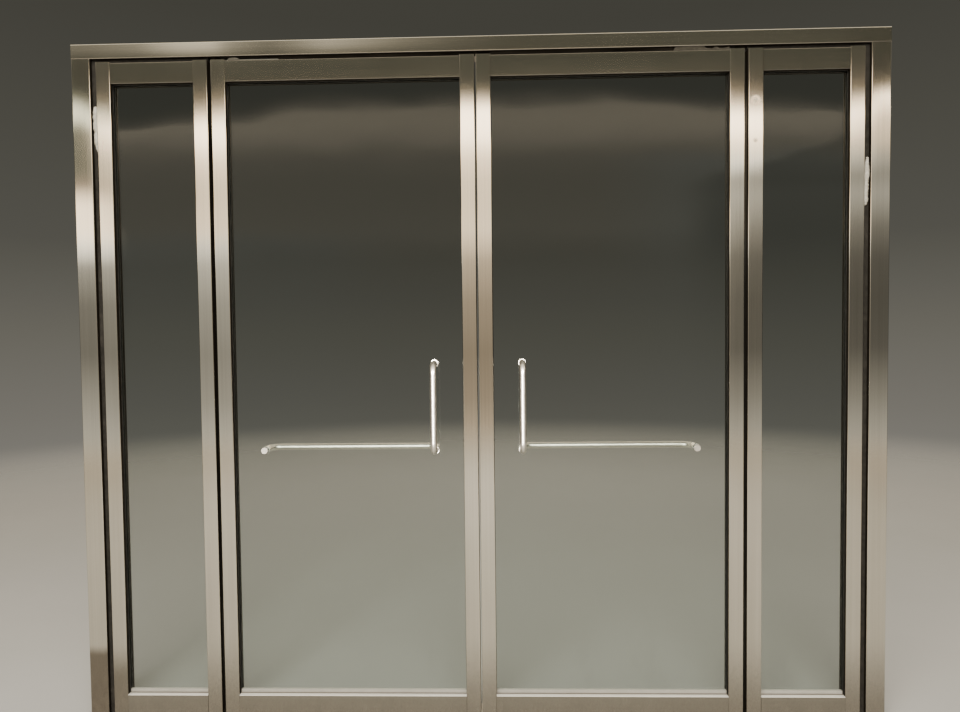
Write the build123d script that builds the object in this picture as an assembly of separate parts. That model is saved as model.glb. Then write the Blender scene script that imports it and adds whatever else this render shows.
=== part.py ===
from build123d import *
import os

# A glass entrance door: two swinging leaves between two fixed sidelights, in a stainless frame.
# X runs to the right as seen from the street, Y runs inwards through the doorway and Z runs up.
# The origin is on the floor line, midway between the leaves, in the middle of the glass.

# Panels, the same section for leaves and sidelights
LEAF_WIDTH = 901.0
SIDELIGHT_WIDTH = 386.0
DAYLIGHT_HEIGHT = 2132.0
PANEL_DEPTH = 50.0
STILE_FACE = 50.0
RAIL_FACE = 72.0
RAIL_SETBACK = 3.0
PANEL_SHEET = 1.5
FOLD_INNER_RADIUS = 1.0
DRAIN_SLOT_LENGTH = 20.0
DRAIN_SLOT_WIDTH = 5.0

# Gaps between the panels and round them
CENTRE_GAP = 5.0
LEAF_GAP = 12.0
HEAD_GAP = 11.0
SILL_GAP = 6.0
JAMB_RECESS = 20.0

# Glazing
GLASS_THICKNESS = 12.0
GLASS_ARRIS = 1.0
GLASS_BITE = 10.0
POCKET_DEPTH = 15.0
GASKET_THICKNESS = 4.0
GASKET_LIP = 1.0
SETTING_BLOCK_LENGTH = 100.0

# Outer frame
JAMB_FACE = 64.0
HEADER_FACE = 50.0
FRAME_DEPTH = 100.0
FRAME_SHEET = 1.5
CLADDING_LIP = 18.0
POST_WALL = 3.0
POST_CORNER_RADIUS = 5.0
THRESHOLD_THICKNESS = 2.0

# Anchor holes in the wall side of each post
ANCHOR_HOLE_DIAMETER = 10.5
ANCHOR_SPACING_ACROSS = 50.0
ANCHOR_SPACING_UP = 1500.0
ANCHOR_LOWEST = 400.0

# Black seal, packers and old sealant round the sidelights
SEAL_SETBACK = 14.0
SEAL_DEPTH = 8.0
PACKER_LENGTH = 90.0
PACKER_DEPTH = 24.0
PACKER_FROM_STILE_END = 242.0
LEFT_LUMP_BELOW_HEADER = 160.0
LEFT_LUMP_LENGTH = 146.0
RIGHT_LUMP_BELOW_HEADER = 374.0
RIGHT_LUMP_LENGTH = 163.0
LUMP_GAPS_TO_JAMB = (14.0, 6.0, 9.0, 3.0, 8.0, 5.0, 13.0)
LUMP_DEPTH = 9.0
LUMP_BEVEL = 2.0

# Pivots
PIVOT_FROM_EDGE = 70.0
PIVOT_RUNNING_FIT = 0.05
PIVOT_END_CLEARANCE = 0.1
FITTING_CLEARANCE = 0.5
OVERCUT = 1.0

# Floor springs
BOX_LENGTH = 306.0
BOX_WIDTH = 112.0
BOX_HEIGHT = 50.0
BOX_SHEET = 1.5
BOX_END_TO_PIVOT = 60.0
COVER_THICKNESS = 2.0
COVER_OVERLAP = 3.0
COVER_CORNER_RADIUS = 4.0
COVER_SPINDLE_HOLE = 32.0
SPRING_BASE_THICKNESS = 6.0
SPRING_BASE_MARGIN = 12.0
SPRING_BASE_CORNER = 12.0
CAM_HOUSING_DIAMETER = 72.0
BARREL_WIDTH = 56.0
BARREL_ROUNDING = 9.0
BARREL_END_MARGIN = 14.0
HOUSING_DROP = 9.0
NECK_DIAMETER = 36.0
NECK_DROP = 3.0
VALVE_DIAMETER = 11.0
VALVE_HEIGHT = 2.5
VALVE_SLOT = 2.0
VALVE_SPACING = 24.0
COVER_SCREW_HEAD = 9.0
COVER_SCREW_SHANK = 4.8
COVER_SCREW_LENGTH = 14.0
COVER_SCREW_MARGIN = 12.0
SCREW_EAR_DEPTH = 22.0
SCREW_EAR_HEIGHT = 20.0

# Spindle and bottom arm
SPINDLE_DIAMETER = 20.0
SPINDLE_BEARING_LENGTH = 28.0
SPINDLE_SQUARE = 15.0
SPINDLE_SQUARE_TIP = 13.0
ARM_WIDTH = 30.0
ARM_HEIGHT = 18.0
ARM_TAIL = 18.0
ARM_LENGTH = 178.0
ARM_FLANGE_WIDTH = 45.0
ARM_FLANGE_THICKNESS = 5.0

# Top pivot
SOCKET_PLATE_LENGTH = 180.0
SOCKET_PLATE_WIDTH = 30.0
SOCKET_PLATE_THICKNESS = 5.0
SOCKET_BOSS_DIAMETER = 26.0
SOCKET_BOSS_HEIGHT = 3.0
SOCKET_DEPTH = 20.0
SOCKET_FLOOR = 3.0
BRACKET_LENGTH = 160.0
BRACKET_WIDTH = 32.0
BRACKET_THICKNESS = 3.0
BRACKET_TAIL = 39.0
PIN_DIAMETER = 14.0
PIN_ENGAGEMENT = 16.0
PIN_CHAMFER = 1.5

# Handles
TUBE_DIAMETER = 22.0
TUBE_WALL = 1.5
TUBE_BEND_RADIUS = 35.0
TUBE_STANDOFF = 70.0
PULL_SPAN = 300.0
HANDLE_HEIGHT = 945.0
HANDLE_FROM_MEETING_STILE = 98.5
BAR_END_FROM_HINGE_STILE = 102.5
FOOT_COLLAR_DIAMETER = 28.0
FOOT_COLLAR_HEIGHT = 5.0
FOOT_COLLAR_BEVEL = 1.0
FOOT_PLUG_LENGTH = 22.0
STUD_DIAMETER = 10.0
STUD_ENGAGEMENT = 16.0
STUD_CLEARANCE = 0.1
STUD_END_CLEARANCE = 0.5
BUSH_FLANGE_DIAMETER = 26.0
BUSH_FLANGE_THICKNESS = 1.0
BUSH_SLEEVE_DIAMETER = 16.0
BUSH_CLEARANCE = 0.25
CAP_DIAMETER = 24.0
CAP_HEIGHT = 5.0
CAP_BEVEL = 1.5

# Distances from the middle of the doorway, outwards to either side
leaf_inner = CENTRE_GAP / 2
leaf_outer = leaf_inner + LEAF_WIDTH
light_inner = leaf_outer + LEAF_GAP
light_outer = light_inner + SIDELIGHT_WIDTH
jamb_inner = light_outer + JAMB_RECESS
jamb_outer = jamb_inner + JAMB_FACE
pivot_x = leaf_outer - PIVOT_FROM_EDGE
handle_x = leaf_inner + STILE_FACE + HANDLE_FROM_MEETING_STILE
bar_span = leaf_outer - STILE_FACE - BAR_END_FROM_HINGE_STILE - handle_x

# Heights
stile_bottom = THRESHOLD_THICKNESS + SILL_GAP
rail_bottom = stile_bottom + RAIL_SETBACK
daylight_bottom = rail_bottom + RAIL_FACE
daylight_top = daylight_bottom + DAYLIGHT_HEIGHT
rail_top = daylight_top + RAIL_FACE
stile_top = rail_top + RAIL_SETBACK
header_bottom = stile_top + HEAD_GAP
header_top = header_bottom + HEADER_FACE
box_floor = BOX_SHEET - BOX_HEIGHT

# Depths
panel_front = -PANEL_DEPTH / 2
frame_front = panel_front
frame_back = frame_front + FRAME_DEPTH
frame_middle = frame_front + FRAME_DEPTH / 2
glass_face = GLASS_THICKNESS / 2
pocket_half = glass_face + GASKET_THICKNESS
seal_front = panel_front + SEAL_SETBACK
seal_back = seal_front + SEAL_DEPTH

panel_fold = PANEL_SHEET + FOLD_INNER_RADIUS
frame_fold = FRAME_SHEET + FOLD_INNER_RADIUS
SIDES = {"left": -1, "right": 1}


def block(corner, opposite):
    """A box between two opposite corners."""
    low, high = Vector(*corner), Vector(*opposite)
    size = high - low
    return Pos(*((low + high) / 2)) * Box(abs(size.X), abs(size.Y), abs(size.Z))


def side_block(side, near, far, depths, heights):
    """A box on one side of the doorway, from its distances, depths and heights."""
    return block((side * near, depths[0], heights[0]), (side * far, depths[1], heights[1]))


def upright(diameter, low, high, x=0.0, y=0.0):
    """A vertical cylinder between two heights."""
    return Pos(x, y, (low + high) / 2) * Cylinder(diameter / 2, high - low)


def panel_outline(face):
    """Outer line of a folded stile or rail, its back at x = 0 and its glass pocket at +x."""
    half = PANEL_DEPTH / 2
    floor = face - POCKET_DEPTH
    corners = [
        (0, -half),
        (face, -half),
        (face, -pocket_half),
        (floor, -pocket_half),
        (floor, pocket_half),
        (face, pocket_half),
        (face, half),
        (0, half),
    ]
    outline = make_face(Polyline(*corners, close=True))
    in_pocket = outline.vertices().filter_by(lambda v: abs(v.X - floor) < POCKET_DEPTH / 2)
    outline = fillet(in_pocket, FOLD_INNER_RADIUS)
    on_faces = outline.vertices().filter_by(lambda v: v.X < POCKET_DEPTH / 4 or v.X > face - 0.01)
    return fillet(on_faces, panel_fold)


def stile(x_back, facing):
    """A full-height stile with welded end caps, the lower one slotted to drain."""
    plane = Plane(origin=(x_back, 0, stile_bottom), x_dir=(facing, 0, 0), z_dir=(0, 0, 1))
    outline = panel_outline(STILE_FACE)
    hollow = offset(outline, -PANEL_SHEET)
    length = stile_top - stile_bottom
    body = extrude(outline - hollow, length)
    caps = extrude(hollow, PANEL_SHEET) + Pos(0, 0, length - PANEL_SHEET) * extrude(hollow, PANEL_SHEET)
    slot = Pos((STILE_FACE - POCKET_DEPTH) / 2, 0, 0) * Box(
        DRAIN_SLOT_WIDTH, DRAIN_SLOT_LENGTH, 4 * PANEL_SHEET
    )
    return plane * (body + caps - slot)


def rail(x_low, x_high, z_back, facing):
    """A rail between two stiles, open at its ends where they close it."""
    plane = Plane(origin=(x_low, 0, z_back), x_dir=(0, 0, facing), z_dir=(1, 0, 0))
    outline = panel_outline(RAIL_FACE)
    return plane * extrude(outline - offset(outline, -PANEL_SHEET), x_high - x_low)


def glass_pane(x_low, x_high):
    """A toughened pane that runs into the pockets on all four sides."""
    pane = block(
        (x_low - GLASS_BITE, -glass_face, daylight_bottom - GLASS_BITE),
        (x_high + GLASS_BITE, glass_face, daylight_top + GLASS_BITE),
    )
    return chamfer(pane.edges(), GLASS_ARRIS)


def glazing_gasket(x_low, x_high):
    """Rubber frames on both faces of the pane, each filling its side of the pockets."""
    frames = []
    for near, far in ((-pocket_half, -glass_face), (glass_face, pocket_half)):
        outer = block(
            (x_low - GLASS_BITE, near, daylight_bottom - GLASS_BITE),
            (x_high + GLASS_BITE, far, daylight_top + GLASS_BITE),
        )
        inner = block(
            (x_low + GASKET_LIP, near - OVERCUT, daylight_bottom + GASKET_LIP),
            (x_high - GASKET_LIP, far + OVERCUT, daylight_top - GASKET_LIP),
        )
        frames.append((outer - inner).solid())
    return frames


def setting_blocks(x_low, x_high):
    """Two blocks under a pane, at a quarter of its width from each side."""
    quarter = (x_high - x_low) / 4
    blocks = []
    for middle in (x_low + quarter, x_high - quarter):
        blocks.append(
            block(
                (middle - SETTING_BLOCK_LENGTH / 2, -glass_face, daylight_bottom - POCKET_DEPTH),
                (middle + SETTING_BLOCK_LENGTH / 2, glass_face, daylight_bottom - GLASS_BITE),
            )
        )
    return blocks


def cladding_section(face):
    """Folded frame cladding, open to the wall at x = 0 between two lips."""
    outline = Pos(face / 2, 0) * RectangleRounded(face, FRAME_DEPTH, frame_fold)
    opening = Rectangle(4 * FRAME_SHEET, FRAME_DEPTH - 2 * CLADDING_LIP)
    return outline - offset(outline, -FRAME_SHEET) - opening


def tube_section(face):
    """Steel tube that fills the cladding of the same face."""
    outline = Pos(face / 2, 0) * RectangleRounded(
        face - 2 * FRAME_SHEET, FRAME_DEPTH - 2 * FRAME_SHEET, POST_CORNER_RADIUS
    )
    return outline - offset(outline, -POST_WALL)


def jamb_plane(side):
    """Foot of a jamb, with x from the wall towards the doorway."""
    return Plane(origin=(side * jamb_outer, frame_middle, 0), x_dir=(-side, 0, 0), z_dir=(0, 0, 1))


def jamb_cladding(side):
    return jamb_plane(side) * extrude(cladding_section(JAMB_FACE), header_bottom)


def jamb_post(side):
    """Steel post with four anchor holes in its wall side."""
    post = jamb_plane(side) * extrude(tube_section(JAMB_FACE), header_bottom)
    wall_x = side * (jamb_outer - FRAME_SHEET - POST_WALL / 2)
    drill = Rot(0, 90, 0) * Cylinder(ANCHOR_HOLE_DIAMETER / 2, 3 * POST_WALL)
    for y in (-ANCHOR_SPACING_ACROSS / 2, ANCHOR_SPACING_ACROSS / 2):
        for z in (ANCHOR_LOWEST, ANCHOR_LOWEST + ANCHOR_SPACING_UP):
            post -= Pos(wall_x, frame_middle + y, z) * drill
    return post


def header_plane(inset):
    """End of the header, with x from its top downwards."""
    return Plane(
        origin=(inset - jamb_outer, frame_middle, header_top), x_dir=(0, 0, -1), z_dir=(1, 0, 0)
    )


def header_cladding():
    """Header sheet with both ends folded shut."""
    length = 2 * jamb_outer
    section = cladding_section(HEADER_FACE)
    outline = Pos(HEADER_FACE / 2, 0) * RectangleRounded(HEADER_FACE, FRAME_DEPTH, frame_fold)
    end = extrude(offset(outline, -FRAME_SHEET), FRAME_SHEET)
    sheet = extrude(section, length) + end + Pos(0, 0, length - FRAME_SHEET) * end
    return header_plane(0) * sheet


def header_beam():
    return header_plane(FRAME_SHEET) * extrude(tube_section(HEADER_FACE), 2 * (jamb_outer - FRAME_SHEET))


def cover_span():
    """Near and far distances of a floor cover plate from the middle of the doorway."""
    far = pivot_x + BOX_END_TO_PIVOT + COVER_OVERLAP
    return far - BOX_LENGTH - 2 * COVER_OVERLAP, far


def cover_half_width():
    return BOX_WIDTH / 2 + COVER_OVERLAP


def threshold():
    """Flat sill plate between the jambs, notched round both floor cover plates."""
    plate = block((-jamb_inner, frame_front, 0), (jamb_inner, frame_back, THRESHOLD_THICKNESS))
    near, far = cover_span()
    reach = cover_half_width() + FITTING_CLEARANCE
    for side in SIDES.values():
        plate -= side_block(
            side,
            near - FITTING_CLEARANCE,
            far + FITTING_CLEARANCE,
            (-reach, reach),
            (-THRESHOLD_THICKNESS, 2 * THRESHOLD_THICKNESS),
        )
    return plate


def recess_seal(side):
    """Black seal that closes the recess round one sidelight, set back in shadow."""
    seal = side_block(
        side, light_inner, jamb_inner, (seal_front, seal_back), (THRESHOLD_THICKNESS, header_bottom)
    )
    through = (seal_front - OVERCUT, seal_back + OVERCUT)
    stile_zone = side_block(side, light_inner, light_outer, through, (stile_bottom, stile_top))
    rail_zone = side_block(
        side, light_inner + STILE_FACE, light_outer - STILE_FACE, through, (rail_bottom, rail_top)
    )
    rail_gaps = side_block(
        side,
        light_inner + STILE_FACE,
        light_outer - STILE_FACE,
        (seal_front, seal_back),
        (stile_bottom, stile_top),
    )
    return seal - stile_zone + (rail_gaps - rail_zone)


def packers(side):
    """Plastic packers behind the seal, between a sidelight and the frame."""
    depths = (seal_back, seal_back + PACKER_DEPTH)
    pieces = []
    lowest = stile_bottom + PACKER_FROM_STILE_END
    highest = stile_top - PACKER_FROM_STILE_END
    for height in (lowest, (lowest + highest) / 2, highest):
        heights = (height - PACKER_LENGTH / 2, height + PACKER_LENGTH / 2)
        pieces.append(side_block(side, light_outer, jamb_inner, depths, heights))
    for near in (light_inner, light_outer - STILE_FACE):
        far = near + STILE_FACE
        pieces.append(side_block(side, near, far, depths, (THRESHOLD_THICKNESS, stile_bottom)))
        pieces.append(side_block(side, near, far, depths, (stile_top, header_bottom)))
    return pieces


def sealant_lump(side, below_header, length):
    """A ragged run of old sealant on the seal, squeezed out beside the sidelight's outer stile."""
    top = header_bottom - below_header
    low = top - length
    step = length / (len(LUMP_GAPS_TO_JAMB) - 1)
    ragged = [
        (jamb_inner - gap, low + number * step) for number, gap in enumerate(LUMP_GAPS_TO_JAMB)
    ]
    outline = make_face(Polyline((light_outer, low), *ragged, (light_outer, top), close=True))
    lump = extrude(outline, LUMP_DEPTH)
    lump = chamfer(lump.edges().group_by(Axis.Z)[-1], LUMP_BEVEL)
    plane = Plane(origin=(0, seal_front, 0), x_dir=(1, 0, 0), z_dir=(0, -1, 0))
    placed = plane * lump
    return placed if side > 0 else mirror(placed, Plane.YZ)


def floor_spring_box(side):
    """Open sheet-steel tray cast into the floor, with an ear at each end for a cover screw."""
    far = pivot_x + BOX_END_TO_PIVOT
    near = far - BOX_LENGTH
    half = BOX_WIDTH / 2
    tray = side_block(side, near, far, (-half, half), (-BOX_HEIGHT, 0))
    tray -= side_block(
        side,
        near + BOX_SHEET,
        far - BOX_SHEET,
        (BOX_SHEET - half, half - BOX_SHEET),
        (box_floor, OVERCUT),
    )
    for x in (near, far):
        inwards = 1 if x == near else -1
        tray += side_block(
            side,
            x + inwards * BOX_SHEET / 2,
            x + inwards * SCREW_EAR_DEPTH,
            (half - BOX_SHEET - SCREW_EAR_DEPTH, half - BOX_SHEET / 2),
            (-SCREW_EAR_HEIGHT, 0),
        )
    for x, y in cover_screw_places(side):
        tray -= upright(COVER_SCREW_SHANK, -COVER_SCREW_LENGTH - OVERCUT, OVERCUT, x, y)
    return tray


def cover_screw_places(side):
    """Plan positions of the two screws of one cover plate, over the ears of its tray."""
    far = pivot_x + BOX_END_TO_PIVOT
    near = far - BOX_LENGTH
    y = BOX_WIDTH / 2 - COVER_SCREW_MARGIN
    return [(side * (near + COVER_SCREW_MARGIN), y), (side * (far - COVER_SCREW_MARGIN), y)]


def cover_screw(x, y):
    """Countersunk screw, flush with the cover plate."""
    head = Pos(x, y, COVER_THICKNESS / 2) * Cone(
        COVER_SCREW_SHANK / 2, COVER_SCREW_HEAD / 2, COVER_THICKNESS
    )
    return head + upright(COVER_SCREW_SHANK, -COVER_SCREW_LENGTH, 0, x, y)


def floor_cover_plate(side):
    """Stainless plate over a floor spring, with the spindle's hole and two countersinks."""
    near, far = cover_span()
    plate = side_block(
        side, near, far, (-cover_half_width(), cover_half_width()), (0, COVER_THICKNESS)
    )
    plate = fillet(plate.edges().filter_by(Axis.Z), COVER_CORNER_RADIUS)
    plate -= upright(COVER_SPINDLE_HOLE, -OVERCUT, COVER_THICKNESS + OVERCUT, side * pivot_x)
    for x, y in cover_screw_places(side):
        plate -= cover_screw(x, y)
    return plate


def floor_spring_body(side):
    """Cast closer body: base, cam housing round the spindle, spring barrel and two valves."""
    far = pivot_x + BOX_END_TO_PIVOT - SPRING_BASE_MARGIN
    near = pivot_x + BOX_END_TO_PIVOT - BOX_LENGTH + SPRING_BASE_MARGIN
    half = BOX_WIDTH / 2 - SPRING_BASE_MARGIN - BOX_SHEET
    base_top = box_floor + SPRING_BASE_THICKNESS
    base = side_block(side, near, far, (-half, half), (box_floor, base_top))
    ear_depths = (half - SCREW_EAR_DEPTH, half + OVERCUT)
    for start, end in ((near - OVERCUT, near + SCREW_EAR_DEPTH), (far - SCREW_EAR_DEPTH, far + OVERCUT)):
        base -= side_block(side, start, end, ear_depths, (-BOX_HEIGHT, OVERCUT))
    base = fillet(base.edges().filter_by(Axis.Z), SPRING_BASE_CORNER / 3)
    barrel = side_block(
        side,
        near + BARREL_END_MARGIN,
        pivot_x,
        (-BARREL_WIDTH / 2, BARREL_WIDTH / 2),
        (base_top, -HOUSING_DROP),
    )
    barrel = fillet(barrel.edges().filter_by(Axis.X).group_by(Axis.Z)[-1], BARREL_ROUNDING)
    housing = upright(CAM_HOUSING_DIAMETER, base_top, -HOUSING_DROP, side * pivot_x)
    neck = upright(NECK_DIAMETER, -HOUSING_DROP, -NECK_DROP, side * pivot_x)
    body = base + barrel + housing + neck
    for across in (-VALVE_SPACING / 2, VALVE_SPACING / 2):
        x = side * (near + BARREL_END_MARGIN + VALVE_SPACING)
        valve = upright(VALVE_DIAMETER, -HOUSING_DROP, VALVE_HEIGHT - HOUSING_DROP, x, across)
        slot = Pos(x, across, VALVE_HEIGHT - HOUSING_DROP) * Box(
            VALVE_DIAMETER, VALVE_SLOT, VALVE_HEIGHT
        )
        body += valve - slot
    bore = SPINDLE_DIAMETER + 2 * PIVOT_RUNNING_FIT
    return body - upright(bore, spindle_foot() - PIVOT_END_CLEARANCE, OVERCUT, side * pivot_x)


def spindle_foot():
    return -NECK_DROP - SPINDLE_BEARING_LENGTH


def square_taper(side, clearance):
    """Tapered square of the spindle, or the hole for it, from its shoulder up into the arm."""
    low = rail_bottom - PIVOT_END_CLEARANCE
    high = rail_bottom + ARM_HEIGHT
    at_axis = Pos(side * pivot_x, 0, 0)
    bottom = at_axis * Pos(0, 0, low) * Rectangle(*[SPINDLE_SQUARE + 2 * clearance] * 2)
    top = at_axis * Pos(0, 0, high) * Rectangle(*[SPINDLE_SQUARE_TIP + 2 * clearance] * 2)
    return loft([bottom, top])


def spindle(side):
    """Floor-spring spindle: round in the closer, tapered square in the leaf's arm."""
    shoulder = rail_bottom - PIVOT_END_CLEARANCE
    return upright(SPINDLE_DIAMETER, spindle_foot(), shoulder, side * pivot_x) + square_taper(side, 0)


def arm_bar(side, clearance):
    """Plan of the bottom arm, round at its pivot end, through the underside of the rail."""
    far = pivot_x + ARM_TAIL + clearance
    near = pivot_x + ARM_TAIL - ARM_LENGTH - clearance
    half = ARM_WIDTH / 2 + clearance
    return side_block(side, near, far, (-half, half), (rail_bottom, rail_bottom + ARM_HEIGHT))


def bottom_arm(side):
    """Forged arm: the bar that takes the spindle, with a flange seated on the rail's floor."""
    bar = arm_bar(side, 0)
    far = pivot_x + ARM_TAIL
    flange_low = rail_bottom + PANEL_SHEET
    flange = side_block(
        side,
        far - ARM_LENGTH,
        far,
        (-ARM_FLANGE_WIDTH / 2, ARM_FLANGE_WIDTH / 2),
        (flange_low, flange_low + ARM_FLANGE_THICKNESS),
    )
    return bar + flange - square_taper(side, PIVOT_RUNNING_FIT)


def socket_floor():
    return rail_top + SOCKET_PLATE_THICKNESS + SOCKET_BOSS_HEIGHT - SOCKET_DEPTH


def top_pivot_socket(side):
    """Leaf half of the top pivot: plate on the rail, raised boss and blind bush."""
    far = pivot_x + ARM_TAIL
    half = SOCKET_PLATE_WIDTH / 2
    plate_top = rail_top + SOCKET_PLATE_THICKNESS
    plate = side_block(side, far - SOCKET_PLATE_LENGTH, far, (-half, half), (rail_top, plate_top))
    plate = fillet(plate.edges().filter_by(Axis.Z), COVER_CORNER_RADIUS)
    bush = upright(
        SOCKET_BOSS_DIAMETER,
        socket_floor() - SOCKET_FLOOR,
        plate_top + SOCKET_BOSS_HEIGHT,
        side * pivot_x,
    )
    bore = upright(
        PIN_DIAMETER + 2 * PIVOT_RUNNING_FIT,
        socket_floor(),
        plate_top + SOCKET_BOSS_HEIGHT + OVERCUT,
        side * pivot_x,
    )
    return plate + bush - bore


def top_pivot_bracket(side):
    """Frame half of the top pivot: plate under the header with a turned pin."""
    far = pivot_x + BRACKET_TAIL
    half = BRACKET_WIDTH / 2
    plate = side_block(
        side,
        far - BRACKET_LENGTH,
        far,
        (-half, half),
        (header_bottom - BRACKET_THICKNESS, header_bottom),
    )
    plate = fillet(plate.edges().filter_by(Axis.Z), COVER_CORNER_RADIUS)
    tip = rail_top + SOCKET_PLATE_THICKNESS + SOCKET_BOSS_HEIGHT - PIN_ENGAGEMENT
    pin = upright(PIN_DIAMETER, tip, header_bottom - BRACKET_THICKNESS / 2, side * pivot_x)
    pin = chamfer(pin.edges().group_by(Axis.Z)[0], PIN_CHAMFER)
    return plate + pin


def handle_plane(side, x_near_centre, z, outside):
    """Foot of a handle on one face of the glass, with local y standing out from that face."""
    if outside:
        return Plane(origin=(side * x_near_centre, -glass_face, z), x_dir=(0, 0, 1), z_dir=(1, 0, 0))
    return Plane(
        origin=(side * x_near_centre, glass_face, z), x_dir=(side, 0, 0), z_dir=(0, 0, side)
    )


def bent_handle(span):
    """D-shaped round tube on two collared feet, each plugged and drilled for its stud."""
    foot = BUSH_FLANGE_THICKNESS
    path = FilletPolyline(
        (0, foot), (0, TUBE_STANDOFF), (span, TUBE_STANDOFF), (span, foot), radius=TUBE_BEND_RADIUS
    )
    ring = Circle(TUBE_DIAMETER / 2) - Circle(TUBE_DIAMETER / 2 - TUBE_WALL)
    start = Plane(origin=(0, foot, 0), z_dir=(0, 1, 0))
    handle = sweep(start * ring, path=path)
    standing = Rot(-90, 0, 0)
    for x in (0, span):
        collar = Pos(x, foot + FOOT_COLLAR_HEIGHT / 2, 0) * standing * Cylinder(
            FOOT_COLLAR_DIAMETER / 2, FOOT_COLLAR_HEIGHT
        )
        collar = chamfer(
            collar.edges().filter_by(GeomType.CIRCLE).group_by(Axis.Y)[-1], FOOT_COLLAR_BEVEL
        )
        plug = Pos(x, foot + FOOT_PLUG_LENGTH / 2, 0) * standing * Cylinder(
            TUBE_DIAMETER / 2 - TUBE_WALL / 2, FOOT_PLUG_LENGTH
        )
        handle += collar + plug
    for x in (0, span):
        hole_end = foot + STUD_ENGAGEMENT + STUD_END_CLEARANCE
        handle -= Pos(x, (hole_end - OVERCUT) / 2, 0) * standing * Cylinder(
            STUD_DIAMETER / 2 + STUD_CLEARANCE, hole_end + OVERCUT
        )
    return handle


def pull_handle(side):
    """Vertical pull on the street side."""
    return handle_plane(side, handle_x, HANDLE_HEIGHT, True) * bent_handle(PULL_SPAN)


def push_bar(side):
    """Horizontal push bar on the room side."""
    return handle_plane(side, handle_x, HANDLE_HEIGHT, False) * bent_handle(bar_span)


def fixing_places(side):
    """The three drilled places in a leaf's pane: shared corner, top of the pull, end of the bar."""
    return {
        "corner": (side * handle_x, HANDLE_HEIGHT),
        "pull": (side * handle_x, HANDLE_HEIGHT + PULL_SPAN),
        "bar": (side * (handle_x + bar_span), HANDLE_HEIGHT),
    }


def along_depth(diameter, near, far, x, z):
    """A cylinder that runs through the doorway between two depths."""
    return Pos(x, (near + far) / 2, z) * Rot(-90, 0, 0) * Cylinder(diameter / 2, abs(far - near))


def leaf_glass(side, x_low, x_high):
    """The pane of a leaf, with its drilled holes."""
    pane = glass_pane(x_low, x_high)
    for x, z in fixing_places(side).values():
        hole = BUSH_SLEEVE_DIAMETER + 2 * BUSH_CLEARANCE
        pane -= along_depth(hole, -GLASS_THICKNESS, GLASS_THICKNESS, x, z)
    return pane


def handle_bushes(side):
    """Flanged plastic bushes, one from each face of the pane at every fixing."""
    bore = STUD_DIAMETER + 2 * STUD_CLEARANCE
    bushes = []
    for x, z in fixing_places(side).values():
        for face in (-1, 1):
            rim = face * (glass_face + BUSH_FLANGE_THICKNESS)
            flange = along_depth(BUSH_FLANGE_DIAMETER, face * glass_face, rim, x, z)
            sleeve = along_depth(BUSH_SLEEVE_DIAMETER, 0, face * glass_face, x, z)
            drill = along_depth(bore, -face * OVERCUT, rim + face * OVERCUT, x, z)
            bushes.append(flange + sleeve - drill)
    return bushes


def handle_studs(side):
    """Studs through the pane; the two that meet one handle end in a bevelled cap."""
    seat = glass_face + BUSH_FLANGE_THICKNESS
    reach = seat + STUD_ENGAGEMENT
    studs = []
    capped_face = {"corner": 0, "pull": 1, "bar": -1}
    for name, (x, z) in fixing_places(side).items():
        face = capped_face[name]
        if face == 0:
            studs.append(along_depth(STUD_DIAMETER, -reach, reach, x, z))
            continue
        cap = along_depth(CAP_DIAMETER, face * seat, face * (seat + CAP_HEIGHT), x, z)
        rim = cap.edges().filter_by(GeomType.CIRCLE).sort_by(Axis.Y)[-1 if face > 0 else 0]
        stud = along_depth(STUD_DIAMETER, -face * reach, face * seat, x, z)
        studs.append(chamfer(rim, CAP_BEVEL) + stud)
    return studs


def span(side, near, far):
    """Low and high x of a stretch on one side of the doorway."""
    return min(side * near, side * far), max(side * near, side * far)


def leaf(name, side):
    """Every piece that swings with one leaf."""
    opening = span(side, leaf_inner + STILE_FACE, leaf_outer - STILE_FACE)
    top = rail(*opening, rail_top, -1)
    socket_hole = SOCKET_BOSS_DIAMETER + 2 * FITTING_CLEARANCE
    top -= upright(socket_hole, rail_top - 3 * PANEL_SHEET, rail_top + OVERCUT, side * pivot_x)
    bottom = rail(*opening, rail_bottom, 1)
    arm_slot = arm_bar(side, FITTING_CLEARANCE)
    floor_zone = side_block(
        side, leaf_inner, leaf_outer, (panel_front, -panel_front), (0, rail_bottom + 2 * PANEL_SHEET)
    )
    bottom -= arm_slot & floor_zone
    return {
        f"{name}_hinge_stile": stile(side * leaf_outer, -side),
        f"{name}_meeting_stile": stile(side * leaf_inner, side),
        f"{name}_top_rail": top,
        f"{name}_bottom_rail": bottom,
        f"{name}_glass": leaf_glass(side, *opening),
        f"{name}_gasket": glazing_gasket(*opening),
        f"{name}_setting_blocks": setting_blocks(*opening),
        f"{name}_pull_handle": pull_handle(side),
        f"{name}_push_bar": push_bar(side),
        f"{name}_handle_bushes": handle_bushes(side),
        f"{name}_handle_studs": handle_studs(side),
        f"{name}_bottom_arm": bottom_arm(side),
        f"{name}_spindle": spindle(side),
        f"{name}_top_pivot_socket": top_pivot_socket(side),
    }


def sidelight(name, side):
    """Every piece of one fixed sidelight, apart from what both share."""
    opening = span(side, light_inner + STILE_FACE, light_outer - STILE_FACE)
    return {
        f"{name}_outer_stile": stile(side * light_outer, -side),
        f"{name}_inner_stile": stile(side * light_inner, side),
        f"{name}_top_rail": rail(*opening, rail_top, -1),
        f"{name}_bottom_rail": rail(*opening, rail_bottom, 1),
        f"{name}_glass": glass_pane(*opening),
        f"{name}_gasket": glazing_gasket(*opening),
    }


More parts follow.
